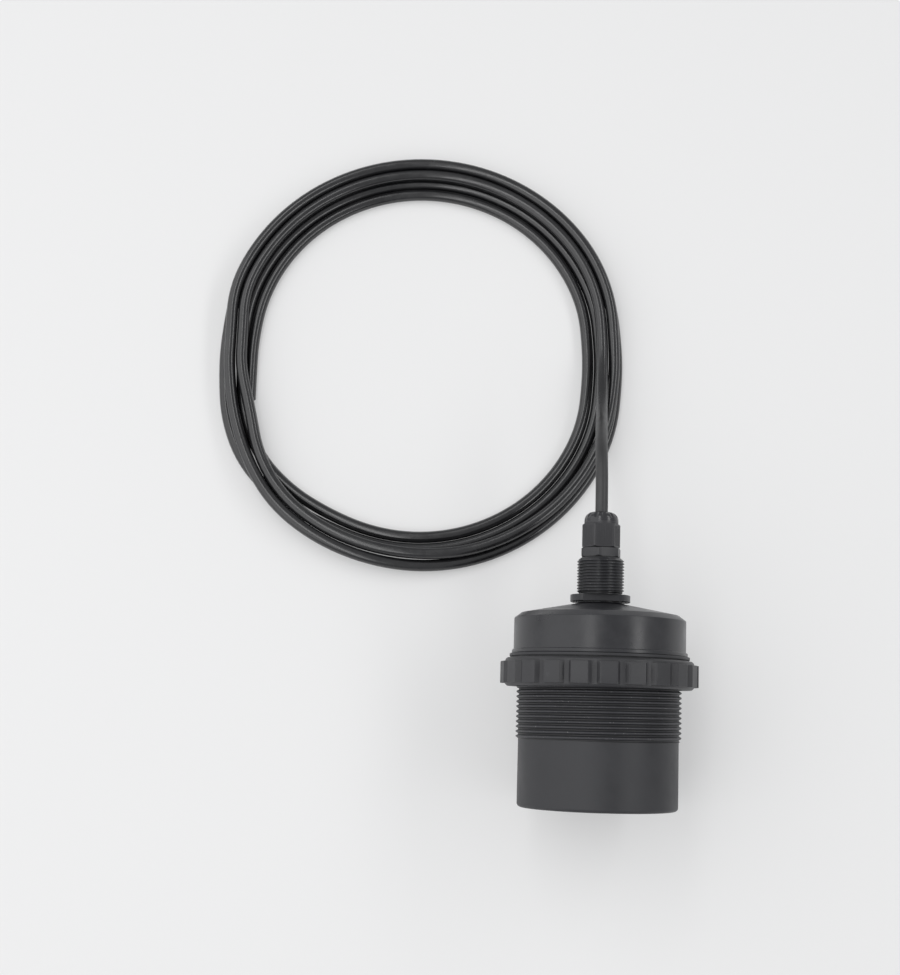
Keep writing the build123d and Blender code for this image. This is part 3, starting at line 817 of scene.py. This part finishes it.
# %% The threaded barrel
LIP_R = 63.1
LIP_LOW = 103.7
THREAD_PITCH = 3.44
WINDOW = 4
BORE_R = 51
barrel_shell = turned("barrel_shell", [
    (0, 0, 0),
    (BARREL_R, 0, 2.5),
    (BARREL_R, LIP_LOW, 0),
    (LIP_R, LIP_LOW, 0.4),
    (LIP_R, HEAD_BASE_Z, 0.4),
    (0, HEAD_BASE_Z, 0),
], columns=144)
big_thread = screw_thread("big_thread", THREAD_ROOT_R, THREAD_CREST_R, THREAD_PITCH, low=46.6, high=103.4,
                          lead_in=1.6, columns=144)
combine(barrel_shell, big_thread, "UNION")
barrel_bore = turned("barrel_bore", [
    (0, WINDOW, 0),
    (BORE_R, WINDOW, 0),
    (BORE_R, 110, 0),
    (0, 110, 0),
], columns=144)
combine(barrel_shell, barrel_bore, "DIFFERENCE")
clean(barrel_shell)
finish_piece(barrel_shell, "housing", housing_plastic, ["threaded_barrel"])

# %% [markdown]
# ## The head
# The upper housing is pressed onto the barrel with a grooved spigot. Above its bead it has a straight
# wall, a sloping shoulder, a coned roof and a collar under the pipe stub. Two flats on the collar take
# a spanner. The roof climbs 3 mm further than in the solid, so that it reaches the collar as on the
# real head.

# %% The head
SPIGOT_R = 50.85
BEAD_R = 61.55
HEAD_R = 60.35
STUB_ROOT_R = 15.45
STUB_TIP_R = 14.35
STUB_TOP = 174.4
STUB_PITCH = 2.11
NECK_R = 16.0
ROOF_TOP = 142.2
COLLAR_R = 21.15
COLLAR_LOW, COLLAR_HIGH = 143.2, 148.2
head_shell = turned("head_shell", [
    (0, 93.8, 0),
    (SPIGOT_R, 93.8, 0.4),
    (SPIGOT_R, 98.3, 0),
    (48.2, 98.3, 0),
    (48.2, 101.9, 0),
    (SPIGOT_R, 101.9, 0),
    (SPIGOT_R, HEAD_BASE_Z, 0),
    (BEAD_R, HEAD_BASE_Z, 0.6),
    (BEAD_R, 108.6, 0.6),
    (HEAD_R, 108.6, 0.3),
    (HEAD_R, 130.8, 1.0),
    (55.3, 134.6, 1.0),
    (NECK_R, ROOF_TOP, 0.5),
    (NECK_R, COLLAR_LOW, 0.2),
    (COLLAR_R, COLLAR_LOW, 0.5),
    (COLLAR_R, COLLAR_HIGH, 0.5),
    (STUB_TIP_R, COLLAR_HIGH, 0.3),
    (STUB_TIP_R, 149.3, 0),
    (STUB_ROOT_R, 150.4, 0),
    (STUB_ROOT_R, 172.6, 0),
    (STUB_TIP_R, STUB_TOP, 0.2),
    (0, STUB_TOP, 0),
], columns=128)
stub_thread = screw_thread("stub_thread", STUB_ROOT_R + 0.05, STUB_CREST_R, STUB_PITCH, low=149.6,
                           high=173.6, lead_in=1.3, columns=96)
combine(head_shell, stub_thread, "UNION")
head_hollow = turned("head_hollow", [
    (0, 92, 0),
    (44.85, 92, 0),
    (44.85, 110.3, 0),
    (55.85, 110.3, 0),
    (55.85, 126.3, 0),
    (54.85, 129.6, 0),
    (7.0, 134.1, 0),
    (7.0, 160.4, 0),
    (10.0, 160.4, 0),
    (10.0, 176, 0),
    (0, 176, 0),
], columns=128)
combine(head_shell, head_hollow, "DIFFERENCE")
FLAT_REACH = NECK_R + 0.2
for side in (-1, 1):
    bpy.ops.object.select_all(action="DESELECT")
    middle = (0, side * (FLAT_REACH + 10) * MM, (COLLAR_LOW + COLLAR_HIGH) / 2 * MM)
    bpy.ops.mesh.primitive_cube_add(size=1, location=middle,
                                    scale=(50 * MM, 20 * MM, (COLLAR_HIGH - COLLAR_LOW) * MM))
    combine(head_shell, added("flat_cutter"), "DIFFERENCE")
clean(head_shell)
finish_piece(head_shell, "housing", head_plastic, ["head_cap"])

# %% [markdown]
# ## The lock nut
# Twenty-two tabs stand round the ring so that a hook spanner can grip it. One sector of the ring is
# spun from its outline, the faces of one tab are pulled out of it, and the finished sector is copied
# round the axis. All tabs then match, and the seams vanish when doubled points are merged.

# %% The lock nut
TAB_COUNT = 22
TAB_FLAT_R = 69.1
TAB_TOP_HALF = 5.9
NUT_BORE_R = 57.65
NUT_CORE_R = 65.95
NUT_CHAMFER = 1.35
NUT_LOW, NUT_HIGH = 83.1, 102.8
TAB_LOW, TAB_HIGH = 85.0, 100.0
SECTOR_STEPS = 11
sector = 2 * math.pi / TAB_COUNT
nut_outline = [
    (NUT_BORE_R, NUT_LOW),
    (NUT_CORE_R - NUT_CHAMFER, NUT_LOW),
    (NUT_CORE_R, NUT_LOW + NUT_CHAMFER),
    (NUT_CORE_R, TAB_LOW),
    (NUT_CORE_R, TAB_HIGH),
    (NUT_CORE_R, NUT_HIGH - NUT_CHAMFER),
    (NUT_CORE_R - NUT_CHAMFER, NUT_HIGH),
    (NUT_BORE_R, NUT_HIGH),
]
lock_nut_shell = outline_object("lock_nut_shell", nut_outline, math.pi / 2 + sector / 2)
edit(lock_nut_shell)
bpy.ops.mesh.spin(steps=SECTOR_STEPS, angle=sector, center=(0, 0, 0), axis=(0, 0, 1))
tab_half_root = NUT_CORE_R * math.sin(9 / SECTOR_STEPS * sector / 2)


def on_the_tab(polygon):
    """Whether a face is part of the stretch of the ring that one tab stands on."""
    middle = polygon.center
    outer = math.hypot(middle.x, middle.y) > (NUT_CORE_R - 0.6) * MM
    return outer and TAB_LOW * MM < middle.z < TAB_HIGH * MM and abs(middle.x) < tab_half_root * MM


edit_faces(lock_nut_shell, on_the_tab)
bpy.ops.mesh.extrude_region_move(TRANSFORM_OT_translate={"value": (0, 0, 0)})
bpy.ops.transform.resize(value=(TAB_TOP_HALF / tab_half_root, 0, 1), orient_type="GLOBAL",
                         center_override=(0, TAB_FLAT_R * MM, (TAB_LOW + TAB_HIGH) / 2 * MM))
bpy.ops.mesh.select_all(action="SELECT")
bpy.ops.mesh.spin(steps=TAB_COUNT - 1, angle=sector * (TAB_COUNT - 1), dupli=True, center=(0, 0, 0),
                  axis=(0, 0, 1))
clean(lock_nut_shell)
soften(lock_nut_shell, 0.4, limit=28)
finish_piece(lock_nut_shell, "lock_nut", nut_plastic, ["lock_nut"])

# %% [markdown]
# ## The gland's body
# A cable gland is a hexagon with a thread on each side. The lower one goes into the stub, and the
# upper one carries the clamping nut and ends in eight fingers that the nut bends onto the seal. A
# turned blank trims the hexagon's corners, as the mould's chamfer does, and thin boxes cut the slots
# between the fingers. Each hexagon stands as far round the axis as the photograph shows it.

# %% The gland's body
GLAND_PITCH = 1.5
CABLE_HOLE_R = 5.2
BODY_LOW, BODY_HIGH = 175.2, 181.4
BODY_ACROSS_FLATS = 26.0
NUT_ACROSS_FLATS = 24.0
BODY_TURN = 17.2
NUT_TURN = 4.4


def hexagon(name, low, high, across_flats, corner_turn, trim):
    """A hexagon bar whose corners are trimmed to a round blank with slanted ends."""
    corner_r = across_flats / math.sqrt(3)
    bpy.ops.object.select_all(action="DESELECT")
    bpy.ops.mesh.primitive_cylinder_add(vertices=6, radius=corner_r * MM, depth=(high - low) * MM,
                                        location=(0, 0, (low + high) / 2 * MM),
                                        rotation=(0, 0, math.radians(corner_turn - 30)))
    piece = added(name)
    bpy.ops.object.transform_apply(location=True, rotation=True, scale=True)
    edge_r = across_flats / 2 + 0.75
    blank = turned("blank", [
        (0, low - 0.01, 0),
        (edge_r, low - 0.01, 0),
        (corner_r - trim, low + 0.55, 0.2),
        (corner_r - trim, high - 0.55, 0.2),
        (edge_r, high + 0.01, 0),
        (0, high + 0.01, 0),
    ], columns=96)
    combine(piece, blank, "INTERSECT")
    clean(piece)
    return piece


gland_body_shell = hexagon("gland_body_shell", BODY_LOW, BODY_HIGH, BODY_ACROSS_FLATS, BODY_TURN, 0.3)
socket_thread = screw_thread("socket_thread", 9.15, 9.95, GLAND_PITCH, low=163.2, high=175.6, lead_in=1.0)
combine(gland_body_shell, socket_thread, "UNION")
clamp_thread = screw_thread("clamp_thread", 9.6, 10.4, GLAND_PITCH, low=181.0, high=190.0, lead_in=0.9)
combine(gland_body_shell, clamp_thread, "UNION")
claw = turned("claw", [
    (0, 189, 0),
    (9.7, 189, 0),
    (10.35, 190, 0),
    (9.2, 198.5, 0.5),
    (0, 198.5, 0),
], columns=96)
combine(gland_body_shell, claw, "UNION")
gland_bore = turned("gland_bore", [
    (0, 160, 0),
    (CABLE_HOLE_R, 160, 0),
    (CABLE_HOLE_R, 188.1, 0),
    (7.3, 188.1, 0),
    (7.3, 200, 0),
    (0, 200, 0),
], columns=96)
combine(gland_body_shell, gland_bore, "DIFFERENCE")
CLAW_SLOT = 1.2
for i in range(4):
    bpy.ops.object.select_all(action="DESELECT")
    bpy.ops.mesh.primitive_cube_add(size=1, location=(0, 0, 195.5 * MM),
                                    rotation=(0, 0, math.radians(45 * i)),
                                    scale=(30 * MM, CLAW_SLOT * MM, 11 * MM))
    combine(gland_body_shell, added("slot_saw"), "DIFFERENCE")
clean(gland_body_shell)
finish_piece(gland_body_shell, "housing", gland_plastic, ["gland_body"])

# %% [markdown]
# ## The gland's dome nut
# The clamping nut has ribbed flats for the fingers and a rounded crown with twelve flutes. The crown
# is turned, and leaning cylinders cut the flutes into its rounded corner. The inside cone that presses
# the fingers together is cut from below, and the mouth is as wide as the cable with a little play.

# %% The gland's dome nut
DOME_LOW, DOME_HIGH = 181.9, 207.3
MOUTH_R = 5.3
CROWN_R = 12.05
CROWN_ROUND = 6.1
FLUTE_COUNT = 12
FLUTE_R = 2.2
FLUTE_DEPTH = 0.75
FLUTE_LEAN = math.radians(40)
dome_nut_shell = hexagon("dome_nut_shell", DOME_LOW, 198.6, NUT_ACROSS_FLATS, NUT_TURN, 0.3)
crown = turned("crown", [
    (0, 196.2, 0),
    (CROWN_R, 196.2, 0),
    (CROWN_R, DOME_HIGH, CROWN_ROUND),
    (0, DOME_HIGH, 0),
], columns=120, arc_steps=10)
flute_reach = CROWN_ROUND - FLUTE_DEPTH + FLUTE_R
flute_x = CROWN_R - CROWN_ROUND + flute_reach * math.cos(FLUTE_LEAN)
flute_z = DOME_HIGH - CROWN_ROUND + flute_reach * math.sin(FLUTE_LEAN)
flute_turn = math.radians(NUT_TURN)
bpy.ops.object.select_all(action="DESELECT")
flute_place = Vector((flute_x * math.cos(flute_turn), flute_x * math.sin(flute_turn), flute_z)) * MM
bpy.ops.mesh.primitive_cylinder_add(vertices=32, radius=FLUTE_R * MM, depth=10 * MM, location=flute_place,
                                    rotation=(0, -FLUTE_LEAN, flute_turn))
flutes = added("flutes")
bpy.ops.object.transform_apply(location=True, rotation=True, scale=True)
edit(flutes)
bpy.ops.mesh.spin(steps=FLUTE_COUNT - 1, angle=2 * math.pi * (FLUTE_COUNT - 1) / FLUTE_COUNT, dupli=True,
                  center=(0, 0, 0), axis=(0, 0, 1))
bpy.ops.mesh.normals_make_consistent(inside=False)
bpy.ops.object.mode_set(mode="OBJECT")
combine(crown, flutes, "DIFFERENCE")
soften(crown, 0.25, limit=24)
combine(dome_nut_shell, crown, "UNION")

# %% Ribs on the flats
RIB_COUNT = 9
RIB_PITCH = 1.2
RIB_WIDTH = 0.55
RIB_STAND = 0.12
RIB_SUNK = 0.3
RIB_LOW, RIB_HIGH = 183.2, 197.2
bpy.ops.object.select_all(action="DESELECT")
rib_x = NUT_ACROSS_FLATS / 2 + RIB_STAND / 2 - RIB_SUNK / 2
rib_y = -RIB_PITCH * (RIB_COUNT - 1) / 2
bpy.ops.mesh.primitive_cube_add(size=1, location=(rib_x * MM, rib_y * MM, (RIB_LOW + RIB_HIGH) / 2 * MM),
                                scale=((RIB_STAND + RIB_SUNK) * MM, RIB_WIDTH * MM,
                                       (RIB_HIGH - RIB_LOW) * MM))
ribs = added("ribs")
bpy.ops.object.transform_apply(location=True, rotation=True, scale=True)
soften(ribs, 0.06, segments=1)
apply_modifier(ribs, "row", "ARRAY", count=RIB_COUNT, use_relative_offset=False, use_constant_offset=True,
               constant_offset_displace=(0, RIB_PITCH * MM, 0))
edit(ribs)
# Without a window the operator turns the other way, so the angle is negative.
bpy.ops.transform.rotate(value=-math.radians(NUT_TURN + 30), orient_axis="Z", center_override=(0, 0, 0))
bpy.ops.mesh.spin(steps=5, angle=math.radians(300), dupli=True, center=(0, 0, 0), axis=(0, 0, 1))
bpy.ops.mesh.normals_make_consistent(inside=False)
bpy.ops.object.mode_set(mode="OBJECT")
rib_angles = {round(math.degrees(math.atan2(v.co.y, v.co.x))) % 60 for v in ribs.data.vertices}
print("degrees of each sixty without a rib", [a for a in range(60) if a not in rib_angles])
combine(dome_nut_shell, ribs, "UNION")
dome_bore = turned("dome_bore", [
    (0, 180, 0),
    (10.45, 180, 0),
    (10.45, 191.5, 0),
    (9.6, 199.3, 0),
    (6.5, 204.3, 0),
    (MOUTH_R, 204.3, 0),
    (MOUTH_R, 209, 0),
    (0, 209, 0),
], columns=96)
combine(dome_nut_shell, dome_bore, "DIFFERENCE")
clean(dome_nut_shell)
finish_piece(dome_nut_shell, "dome_nut", gland_plastic, ["gland_dome_nut"])
